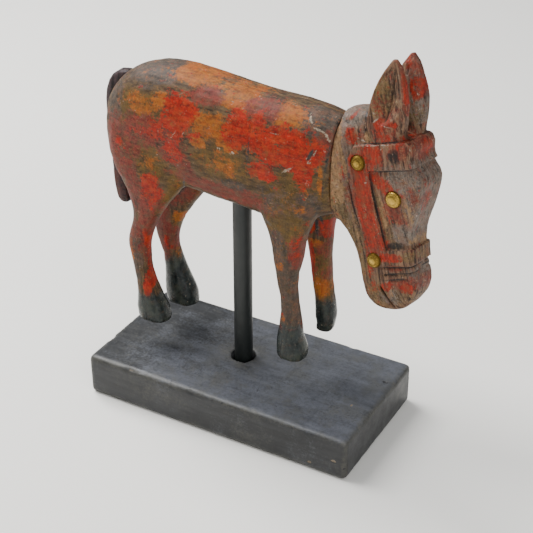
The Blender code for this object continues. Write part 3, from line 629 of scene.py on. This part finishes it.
def paintHead(mesh, look):
    out, side, down = headPlaces(places(mesh), look)
    near = 1 - smoothStep(-2.0, 2.0, side)
    farEar = (side > 1) & (down < -6)
    facing = smoothStep(-12, -4, out - 0.2 * np.abs(side)) * (down > -2)
    for name in coatNames:
        bare = np.ones(len(out))
        for patch in cheekCoats.get(name, ()):
            hidden = (patch[0] - 1.5, patch[1] + 2, patch[2], patch[3] * 1.1, -patch[4], patch[5])
            value = near * softPatch(out, down, patch) + (1 - near) * softPatch(out, down, hidden)
            bare = lessBare(bare, value * ~farEar)
        for patch in faceCoats.get(name, ()):
            bare = lessBare(bare, facing * softPatch(side, down, patch))
        for patch in farEarCoats.get(name, ()):
            bare = lessBare(bare, farEar * softPatch(out, down, patch))
        paintLayer(mesh, name, 1 - bare)


def makeHead(look):
    piece = fineSkin("horseHead", "horse_head", look)
    mesh = piece.data
    # the neck's flat joint and the studs' seats stay as cut
    held = 1 - smoothStep(look["jointX"] + 0.9, look["jointX"] + 1.9, places(mesh)[:, 0] / millimetre)
    rubSmooth(mesh, look["sanding"], held)
    points = places(mesh)
    lumps = (wobble(points, 10, 5) + 0.4 * wobble(points, 3.5, 6, 2)) * look["wobbleMm"]
    for nodeName in studNames:
        low, high = (np.array(v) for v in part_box(nodeName))
        away = np.linalg.norm(points - (low + high) / 2, axis=1) / millimetre
        held = np.maximum(held, 1 - smoothStep(5.8, 7.4, away))
    out, side, down = headPlaces(points, look)
    for start, end, curve, width, depth in look["cutsMm"]:
        run = np.array(end) - np.array(start)
        length = np.hypot(*run)
        along = np.clip(((out - start[0]) * run[0] + (down - start[1]) * run[1]) / length ** 2, 0, 1)
        apart = ((down - start[1]) * run[0] - (out - start[0]) * run[1]) / length - curve * np.sin(math.pi * along)
        ends = smoothStep(0, 0.15, along) * (1 - smoothStep(0.85, 1, along))
        lumps -= depth * ends * (1 - smoothStep(0.2, 1.0, np.abs(apart) / width)) * (np.abs(side) > 4)
    # chisel marks, long down the neck, short across it
    chiselled = (1 - smoothStep(-44, -34, out)) * smoothStep(-26, -12, down) * (1 - smoothStep(52, 66, down))
    marks = np.column_stack((out / 3.2, side / 9.0, down / 26.0)) * millimetre
    lumps += look["chiselMm"] * chiselled * wobble(marks, 1, 7, 2)
    pushOut(mesh, lumps * (1 - held), "horse_head")
    paintHead(mesh, look)
    edgesAndHollows(mesh, 12, 0.7)
    dress(piece, wornPaint("paintedCarvedHead", look), ["horse_head"])


studNames = [f"{place}_stud_{side}" for side in ("right", "left") for place in ("brow", "eye", "nose")]
makeHead(headLook)


# Tail: a strip of stained wood, darker than the rest

tailLook = dict(bodyLook)
tailLook.update({
    "voxelMm": 0.6,
    "sanding": 8,
    "wobbleMm": 0.2,
    "cloudMm": (9.0, 6.0),
    "brushMm": ((2.2, 2.2, 20.0),),
    "base": ("#1c1617", "#403335"),
    # edge colour: wear and a painted highlight on the edges
    "edge": "#5d4845",
    "glintCover": 0.15,
    "layers": (
        coat("rose", "#351814", "#63342d", "#3e2f2d"),
        coat("black", "#0f0b0c", "#1c1516", "#2a2122", ragged=1.4),
    ),
})


def makeTail(look):
    piece = fineSkin("horseTail", "horse_tail", look)
    mesh = piece.data
    rubSmooth(mesh, look["sanding"], np.zeros(len(mesh.vertices)))
    points = places(mesh)
    across, up = points[:, 0] / millimetre, points[:, 2] / millimetre
    free = 1 - smoothStep(-95, -88, across) * smoothStep(195, 205, up)  # its root fits the slot
    lumps = wobble(points, 12, 9) * look["wobbleMm"] * free
    pushOut(mesh, lumps, "horse_tail")
    paintLayer(mesh, "rose", softPatch(across, up, (-100, 142, 10, 14, 0, 1.0)))
    paintLayer(mesh, "black", softPatch(across, up, (-94, 150, 5, 40, 0, 0.6)))
    edgesAndHollows(mesh, 12, 0.9)
    dress(piece, wornPaint("stainedTailWood", look), ["horse_tail"])


makeTail(tailLook)


# Plinth: a planed block, painted black, rubbed at its edges, with a ragged hole for the bar

plinthLook = dict(bodyLook)
plinthLook.update({
    "sanding": 6,
    "chipMm": 1.1,
    "rimMm": 0.9,
    # nicks, 0.7 mm deep: place, half length along the block, and how pale each one is
    "nicks": (
        ((91.1, -50.5, 13.8), 1.8, 1.0), ((73.8, -50.5, 6.0), 2.2, 0.7), ((93.1, 22.1, 30.7), 1.6, 0.0),
        ((84.4, -12.1, 30.7), 0.6, 1.0), ((98.6, -49.6, 9.6), 1.2, 0.0)),
    "nickMm": 0.7,
    "cloudMm": (26.0, 14.0),
    "grainSizeMm": 1.8,
    "rubMm": 9.0,
    "brushMm": ((40.0, 6.0, 5.0),),
    "grainMm": 0.02,
    "stippleMm": 0.05,
    "scratchCover": 0.1,
    "scratchDeepMm": 0.02,
    "paleCover": 0.1,
    "speckCover": 0.2,
    "fleckCover": 0.1,
    "glint": "#4c4a44",
    "glintCover": 0.3,
    "base": ("#161719", "#242527"),
    # the dark colour below is dirt in scratches and specks, and painted shade in the hollows
    "dirtAndShade": "#141516",
    "fleck": "#75726a",
    # edge colour: wear and a painted highlight on the edges
    "edge": "#5d5b58",
    "hollowShadeCover": 0.5,
    "sheen": 0.5,
    "roughness": (0.34, 0.5),
    "layers": (
        # dust, and painted sheen on the top
        coat("dustAndSheen", "#42444a", "#5d6068", "#4a4a47", cover=0.9, thickMm=0.0, soft=0.5, streaked=0.4,
             rubbedOff=0.3, roughness=0.42),
        coat("rubbed", "#3f3f3b", "#5c594f", "#33332f", cover=0.6, thickMm=-0.02, soft=0.45, streaked=0.3,
             roughness=0.6),
        coat("bareWood", "#6a5844", "#9a8a72", "#7a6850", ragged=1.0, grainy=0.8, cover=0.9, thickMm=-0.06,
             soft=0.16),
        # black: a ring of painted shade in the hole's mouth, and dirt in the nicks
        coat("black", "#0c0d0e", "#1a1b1d", "#232426", ragged=1.2),
    ),
})


def makePlinth(look):
    piece = fineSkin("plinthBlock", "plinth", look)
    mesh = piece.data
    points = places(mesh) / millimetre
    low, high = (np.array(v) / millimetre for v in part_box("plinth"))
    # the bar's seat and the underside stay as cut
    inSeat = (1 - smoothStep(7.0, 7.6, fromBar(points))) * (1 - smoothStep(26.8, 27.4, points[:, 2]))
    held = np.maximum(inSeat, 1 - smoothStep(1.0, 2.0, points[:, 2]))
    rubSmooth(mesh, look["sanding"], held)
    points = places(mesh)
    at = points / millimetre
    fromRod = fromBar(at)
    edge = np.sort(np.minimum(at - low, high - at), axis=1)
    corner = 1 - smoothStep(0.5, 5.0, edge[:, 1])
    chips = np.clip(wobble(points, 9, 12) - 0.25, 0, 1) * corner
    lumps = wobble(points, 30, 11) * 0.12 - look["chipMm"] * chips
    rim = 1 - smoothStep(0.6, 2.6, np.abs(fromRod - 8.4))
    onTop = smoothStep(high[2] - 2.2, high[2] - 0.4, at[:, 2])
    lumps -= look["rimMm"] * rim * np.clip(wobble(points, 4, 13, 2) + 0.25, 0, 1) * onTop
    bare = chips * 0.6
    # painted shade: a black ring in the hole's mouth round the bar; the dark nicks below are dirt
    dark = 1.2 * (1 - smoothStep(0.4, 1.6, np.abs(fromRod - 7.6))) * onTop
    for spot, size, pale in look["nicks"]:
        reach = np.linalg.norm((at - spot) / (size, 1.0, 0.8), axis=1)
        lumps -= look["nickMm"] * (1 - smoothStep(0.2, 1.3, reach))
        hole = 1.2 * (1 - smoothStep(0.5, 1.6, reach))
        bare = np.maximum(bare, hole * pale)
        dark = np.maximum(dark, hole * (1 - pale))
    lumps[at[:, 2] < 0.6] = 0
    points = pushOut(mesh, lumps * (1 - held), "plinth")
    scuffs = np.clip(wobble(points, 20, 14) * 1.4, 0, 1)
    rubbed = np.maximum(corner * 0.85, 0.75 * onTop * (1 - smoothStep(6, 26, fromRod)))
    # on the top: dust and painted sheen, growing towards the right and the near side
    for name, values in (
            ("rubbed", np.clip(rubbed + 0.25 * scuffs, 0, 1)), ("bareWood", bare), ("black", dark),
            ("dustAndSheen", onTop * smoothStep(-110, 20, at[:, 0] - 0.6 * at[:, 1]))):
        paintLayer(mesh, name, values)
    edgesAndHollows(mesh, 10, 1.0)
    dress(piece, wornPaint("blackPaintedBlock", look), ["plinth"])


makePlinth(plinthLook)


# Bar: half-inch mild steel, brush painted

barLook = {
    "sides": 72,
    "ringMm": 2.0,
    "chamferMm": 0.5,
    "dentMm": 0.05,
    "paint": ("#060a09", "#111816"),
    "rubbed": "#2c322f",
    "roughness": (0.4, 0.55),
    "brushMm": (2.0, 2.0, 30.0),
}


def paintedSteel(name, look):
    # Enamel brushed on steel bar: near black, satin, with faint runs along it and dull worn places
    material, tree, place = emptyMaterial(name)
    along = addNode(tree, "ShaderNodeMapping", {"vector_type": "TEXTURE"}, {
        "Vector": place, "Scale": [s * millimetre for s in look["brushMm"]]}, "Vector")
    brushed = addNode(tree, "ShaderNodeTexNoise", None, {
        "Vector": along, "Scale": 1.0, "Detail": 4.0, "Roughness": 0.55}, "Fac")
    cloudy = addNode(tree, "ShaderNodeTexNoise", None, {
        "Vector": place, "Scale": 1 / (9 * millimetre), "Detail": 6.0, "Roughness": 0.65}, "Fac")
    colour = addNode(tree, "ShaderNodeMix", coloured, {
        0: brushed, 6: linearColour(look["paint"][0]), 7: linearColour(look["paint"][1])}, 2)
    rubbed = addNode(tree, "ShaderNodeMapRange", eased, {
        "Value": cloudy, "From Min": 0.55, "From Max": 0.75, "To Max": 0.35}, "Result")
    colour = addNode(tree, "ShaderNodeMix", coloured, {
        0: rubbed, 6: colour, 7: linearColour(look["rubbed"])}, 2)
    gloss = addNode(tree, "ShaderNodeMapRange", None, {
        "Value": cloudy, "From Min": 0.3, "From Max": 0.7,
        "To Min": look["roughness"][0], "To Max": look["roughness"][1]}, "Result")
    bump = addNode(tree, "ShaderNodeBump", None, {
        "Height": brushed, "Distance": 0.05 * millimetre, "Strength": 1.0}, "Normal")
    surface = addNode(tree, "ShaderNodeBsdfPrincipled", None, {
        "Base Color": colour, "Roughness": gloss, "Normal": bump, "IOR": 1.5}, "BSDF")
    addNode(tree, "ShaderNodeOutputMaterial", None, {"Surface": surface})
    return material


def makeBar(look):
    low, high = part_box("support_rod")
    middle = (low + high) / 2
    radius = (high.x - low.x) / 2
    chamfer = look["chamferMm"] * millimetre
    count = int((high.z - low.z) / (look["ringMm"] * millimetre))
    levels = [(low.z, radius - chamfer), (low.z + chamfer, radius)]
    span = high.z - low.z - 2 * chamfer
    levels += [(low.z + chamfer + span * i / count, radius) for i in range(1, count)]
    levels += [(high.z - chamfer, radius), (high.z, radius - chamfer)]
    work = bmesh.new()
    rings = []
    for z, size in levels:
        ring = []
        for step in range(look["sides"]):
            angle = 2 * math.pi * step / look["sides"]
            ring.append(work.verts.new((middle.x + size * math.cos(angle), middle.y + size * math.sin(angle), z)))
        rings.append(ring)
    for below, above in zip(rings, rings[1:]):
        for step in range(look["sides"]):
            after = (step + 1) % look["sides"]
            work.faces.new((below[step], below[after], above[after], above[step]))
    work.faces.new(list(reversed(rings[0])))
    work.faces.new(rings[-1])
    mesh = bpy.data.meshes.new("supportBar")
    work.to_mesh(mesh)
    work.free()
    for face in mesh.polygons:
        face.use_smooth = len(face.vertices) == 4
    piece = pieceFromMesh("supportBar", mesh)
    points, outward = places(mesh), normalsOf(mesh)
    points -= outward * (np.clip(wobble(points, 12, 21), 0, 1) * look["dentMm"] * millimetre)[:, None]
    setPlaces(mesh, points)
    dress(piece, paintedSteel("brushedEnamelOnSteel", look), ["support_rod"])


makeBar(barLook)


# Studs: domed brass nail heads, hammered in and tarnished

studLook = {
    "sides": 40,
    "rings": 32,
    "dentMm": 0.3,
    "dentSizeMm": 3.2,
    "ringDepth": 0.07,
    "ringReach": 0.27,
    "ringWidth": 0.08,
    "dull": {"brow": 0.3, "eye": -0.1, "nose": 0.25},
    "seed": 4,
    "brass": ("#8a6a2a", "#d8b45a"),
    "tarnish": "#57431c",
    "roughness": (0.3, 0.55),
}


def agedBrass(name, look):
    # Pressed brass nail head: yellow metal, brown tarnish round the rim and in the dents
    material, tree, place = emptyMaterial(name)
    cloudy = addNode(tree, "ShaderNodeTexNoise", None, {
        "Vector": place, "Scale": 1 / (2.6 * millimetre), "Detail": 5.0, "Roughness": 0.6}, "Fac")
    fine = addNode(tree, "ShaderNodeTexNoise", None, {
        "Vector": place, "Scale": 1 / (0.7 * millimetre), "Detail": 3.0, "Roughness": 0.6}, "Fac")
    rim = addNode(tree, "ShaderNodeAttribute", {"attribute_name": "rim"}, None, "Fac")
    dulled = addNode(tree, "ShaderNodeAttribute", {"attribute_name": "dull"}, None, "Fac")
    metal = addNode(tree, "ShaderNodeMix", coloured, {
        0: cloudy, 6: linearColour(look["brass"][0]), 7: linearColour(look["brass"][1])}, 2)
    dull = addNode(tree, "ShaderNodeMath", timesPlus, {0: fine, 1: 1.6, 2: rim}, 0)
    dull = addNode(tree, "ShaderNodeMath", {"operation": "ADD"}, {0: dull, 1: dulled}, 0)
    cover = addNode(tree, "ShaderNodeMapRange", eased, {
        "Value": dull, "From Min": 0.8, "From Max": 1.75, "To Max": 0.9}, "Result")
    colour = addNode(tree, "ShaderNodeMix", coloured, {0: cover, 6: metal, 7: linearColour(look["tarnish"])}, 2)
    gloss = addNode(tree, "ShaderNodeMapRange", None, {
        "Value": cover, "To Min": look["roughness"][0], "To Max": look["roughness"][1]}, "Result")
    bump = addNode(tree, "ShaderNodeBump", None, {
        "Height": cloudy, "Distance": 0.3 * millimetre, "Strength": 1.0}, "Normal")
    surface = addNode(tree, "ShaderNodeBsdfPrincipled", None, {
        "Base Color": colour, "Roughness": gloss, "Normal": bump, "Metallic": 1.0}, "BSDF")
    addNode(tree, "ShaderNodeOutputMaterial", None, {"Surface": surface})
    return material


def studSeats(look):
    # a point for each nail head: where it faces, its width and height, and how tarnished it is
    points, facing, sizes, dull = [], [], [], []
    across = Vector([row[1] for row in headLook["axes"]])
    for nodeName in studNames:
        outward = across * (-1 if nodeName.endswith("right") else 1)
        corners = np.array([v.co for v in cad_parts[nodeName].data.vertices])
        heights = corners @ np.array(outward)
        centre = corners.mean(axis=0)
        seat = centre + np.array(outward) * (heights.min() - centre @ np.array(outward))
        flat = corners - seat - np.outer(heights - heights.min(), np.array(outward))
        points.append(tuple(seat))
        facing.append(tuple(outward))
        sizes.append((2 * np.linalg.norm(flat, axis=1).max(), heights.max() - heights.min(), 0))
        dull.append(look["dull"][nodeName.split("_")[0]])
    mesh = bpy.data.meshes.new("studSeats")
    mesh.from_pydata(points, [], [])
    for name, kind, key, values in (
            ("facing", "FLOAT_VECTOR", "vector", facing), ("size", "FLOAT_VECTOR", "vector", sizes),
            ("dull", "FLOAT", "value", dull)):
        layer = mesh.attributes.new(name, kind, "POINT")
        layer.data.foreach_set(key, np.array(values, np.float32).ravel())
    return mesh


def studTree(material, look):
    tree = bpy.data.node_groups.new("domedNailHeads", "GeometryNodeTree")
    sockets = tree.interface
    sockets.new_socket("Geometry", in_out="INPUT", socket_type="NodeSocketGeometry")
    for label, kind, value in (
            ("Sides", "NodeSocketInt", look["sides"]), ("Rings", "NodeSocketInt", look["rings"]),
            ("Dent Depth", "NodeSocketFloat", look["dentMm"] * millimetre),
            ("Ring Depth", "NodeSocketFloat", look["ringDepth"]), ("Seed", "NodeSocketInt", look["seed"])):
        sockets.new_socket(label, in_out="INPUT", socket_type=kind).default_value = value
    sockets.new_socket("Geometry", in_out="OUTPUT", socket_type="NodeSocketGeometry")
    entry = addNode(tree, "NodeGroupInput")
    ball = addNode(tree, "GeometryNodeMeshUVSphere", None, {
        "Segments": entry.outputs["Sides"], "Rings": entry.outputs["Rings"], "Radius": 0.5}, "Mesh")
    # a ball one unit wide is cut off flat underneath, to stand one unit high on its seat
    spot = addNode(tree, "GeometryNodeInputPosition", outlet=0)
    x, y, z = addNode(tree, "ShaderNodeSeparateXYZ", None, {0: spot}).outputs
    lifted = z
    for operation, value in (("MAXIMUM", 0.0), ("MULTIPLY", 2.0), ("POWER", 0.62)):
        lifted = addNode(tree, "ShaderNodeMath", {"operation": operation}, {0: lifted, 1: value}, 0)
    # a ring is pressed into it half way out
    flatPlace = addNode(tree, "ShaderNodeCombineXYZ", None, {"X": x, "Y": y}, 0)
    reach = addNode(tree, "ShaderNodeVectorMath", {"operation": "LENGTH"}, {0: flatPlace}, "Value")
    fromRing = addNode(tree, "ShaderNodeMath", {"operation": "SUBTRACT"}, {0: reach, 1: look["ringReach"]}, 0)
    fromRing = addNode(tree, "ShaderNodeMath", {"operation": "ABSOLUTE"}, {0: fromRing}, 0)
    ring = addNode(tree, "ShaderNodeMapRange", eased, {
        "Value": fromRing, "From Max": look["ringWidth"], "To Min": 1.0, "To Max": 0.0}, "Result")
    sunk = addNode(tree, "ShaderNodeMath", {"operation": "MULTIPLY"}, {0: ring, 1: entry.outputs["Ring Depth"]}, 0)
    domeHeight = addNode(tree, "ShaderNodeMath", {"operation": "SUBTRACT"}, {0: lifted, 1: sunk}, 0)
    domePlace = addNode(tree, "ShaderNodeCombineXYZ", None, {"X": x, "Y": y, "Z": domeHeight}, 0)
    rim = addNode(tree, "ShaderNodeMath", {"operation": "POWER"}, {0: lifted, 1: 2.0}, 0)
    rim = addNode(tree, "ShaderNodeMath", {"operation": "SUBTRACT"}, {0: 1.0, 1: rim}, 0)
    rim = addNode(tree, "ShaderNodeMath", timesPlus, {0: ring, 1: 0.35, 2: rim}, 0)
    marked = addNode(tree, "GeometryNodeStoreNamedAttribute", {"data_type": "FLOAT", "domain": "POINT"}, {
        "Geometry": ball, "Name": "rim", "Value": rim}, 0)
    dome = addNode(tree, "GeometryNodeSetPosition", None, {"Geometry": marked, "Position": domePlace}, 0)
    smooth = addNode(tree, "GeometryNodeSetShadeSmooth", None, {"Geometry": dome}, 0)
    facing, size = (addNode(tree, "GeometryNodeInputNamedAttribute", {"data_type": "FLOAT_VECTOR"}, {
        "Name": name}, "Attribute") for name in ("facing", "size"))
    width, height, spare = addNode(tree, "ShaderNodeSeparateXYZ", None, {0: size}).outputs
    scale = addNode(tree, "ShaderNodeCombineXYZ", None, {"X": width, "Y": width, "Z": height}, 0)
    turned = addNode(tree, "FunctionNodeAlignRotationToVector", {"axis": "Z"}, {"Vector": facing}, "Rotation")
    placed = addNode(tree, "GeometryNodeInstanceOnPoints", None, {
        "Points": entry.outputs["Geometry"], "Instance": smooth, "Rotation": turned, "Scale": scale}, 0)
    real = addNode(tree, "GeometryNodeRealizeInstances", None, {"Geometry": placed}, 0)
    # shallow hammer dents, different on each head
    hammered = addNode(tree, "ShaderNodeTexNoise", {"noise_dimensions": "4D"}, {
        "Scale": 1 / (look["dentSizeMm"] * millimetre), "Detail": 2.0, "W": entry.outputs["Seed"]}, "Fac")
    depth = addNode(tree, "ShaderNodeMath", {"operation": "MULTIPLY"}, {
        0: hammered, 1: entry.outputs["Dent Depth"]}, 0)
    inward = addNode(tree, "ShaderNodeMath", {"operation": "MULTIPLY"}, {0: depth, 1: -1.0}, 0)
    normal = addNode(tree, "GeometryNodeInputNormal", outlet=0)
    push = addNode(tree, "ShaderNodeVectorMath", {"operation": "SCALE"}, {0: normal, "Scale": inward}, 0)
    dented = addNode(tree, "GeometryNodeSetPosition", None, {"Geometry": real, "Offset": push}, 0)
    finished = addNode(tree, "GeometryNodeSetMaterial", None, {"Geometry": dented, "Material": material}, 0)
    addNode(tree, "NodeGroupOutput", None, {"Geometry": finished})
    return tree


def makeStuds(look):
    brass = agedBrass("tarnishedPressedBrass", look)
    piece = pieceFromMesh("studHeads", studSeats(look))
    nodes = piece.modifiers.new("nailHeads", "NODES")
    nodes.node_group = studTree(brass, look)
    for item in nodes.node_group.interface.items_tree:
        if item.in_out == "INPUT" and item.name == "Seed":
            nodes[item.identifier] = look["seed"]
    applyModifiers(piece)
    work = bmesh.new()
    work.from_mesh(piece.data)
    bmesh.ops.remove_doubles(work, verts=work.verts, dist=0.001 * millimetre)
    bmesh.ops.dissolve_degenerate(work, edges=work.edges, dist=0.001 * millimetre)
    bmesh.ops.recalc_face_normals(work, faces=work.faces)
    work.to_mesh(piece.data)
    work.free()
    dress(piece, brass, studNames)


makeStuds(studLook)


# Floor, light and camera

stageLook = {
    "floorSize": 6.0,
    "floor": "#f4f2ec",
    "room": ("#eef1f5", 0.5),
    "aim": (0.0, 0.0, 0.13),
    # panels: how far to the picture's left, toward the viewer and up from the aim, width, watts
    "panels": {
        "keyPanel": (0.7, -0.5, 1.2, 1.0, 48.0),
        "fillPanel": (-0.45, 1.25, 0.75, 1.3, 11.5),
    },
    # the camera that the plinth's corners gave: degrees, metres, and millimetres for a 36 mm sensor
    "turn": 29.29,
    "lift": 31.22,
    "away": 0.8933,
    "target": (0.00558, 0.0145, 0.100),
    "sensorMm": 36.0,
    "lensMm": 36.0 * 1331.57 / 533,
}


def makeStage(look):
    size = look["floorSize"]
    mesh = bpy.data.meshes.new("floor")
    corners = [(-size, -size, 0), (size, -size, 0), (size, size, 0), (-size, size, 0)]
    mesh.from_pydata(corners, [], [(0, 1, 2, 3)])
    paper = bpy.data.materials.new("paleMattFloor")
    paper.use_nodes = True
    surface = paper.node_tree.nodes["Principled BSDF"]
    surface.inputs["Base Color"].default_value = linearColour(look["floor"])
    surface.inputs["Roughness"].default_value = 0.9
    mesh.materials.append(paper)
    floor = pieceFromMesh("floor", mesh)
    world = bpy.data.worlds.new("softRoom")
    bpy.context.scene.world = world
    world.use_nodes = True
    background = world.node_tree.nodes["Background"]
    background.inputs["Color"].default_value = linearColour(look["room"][0])
    background.inputs["Strength"].default_value = look["room"][1]
    aim = Vector(look["aim"])
    left = Vector((-0.872, -0.489, 0.0))
    toward = Vector((0.489, -0.872, 0.0))
    for name, (aside, nearer, up, width, power) in look["panels"].items():
        panel = bpy.data.lights.new(name, "AREA")
        panel.shape = "SQUARE"
        panel.size = width
        panel.energy = power
        light = bpy.data.objects.new(name, panel)
        light.location = aim + left * aside + toward * nearer + Vector((0, 0, up))
        light.rotation_euler = (light.location - aim).to_track_quat("Z", "Y").to_euler()
        bpy.context.scene.collection.objects.link(light)


def makeCamera(look):
    turn, lift = math.radians(look["turn"]), math.radians(look["lift"])
    back = Vector((math.sin(turn) * math.cos(lift), -math.cos(turn) * math.cos(lift), math.sin(lift)))
    lens = bpy.data.cameras.new("camera")
    lens.sensor_width = look["sensorMm"]
    lens.lens = look["lensMm"]
    camera = bpy.data.objects.new("camera", lens)
    camera.location = Vector(look["target"]) + back * look["away"]
    camera.rotation_euler = (-back).to_track_quat("-Z", "Y").to_euler()
    bpy.context.scene.collection.objects.link(camera)
    bpy.context.scene.camera = camera


makeStage(stageLook)
makeCamera(stageLook)
print("made the floor, the lights and the camera")
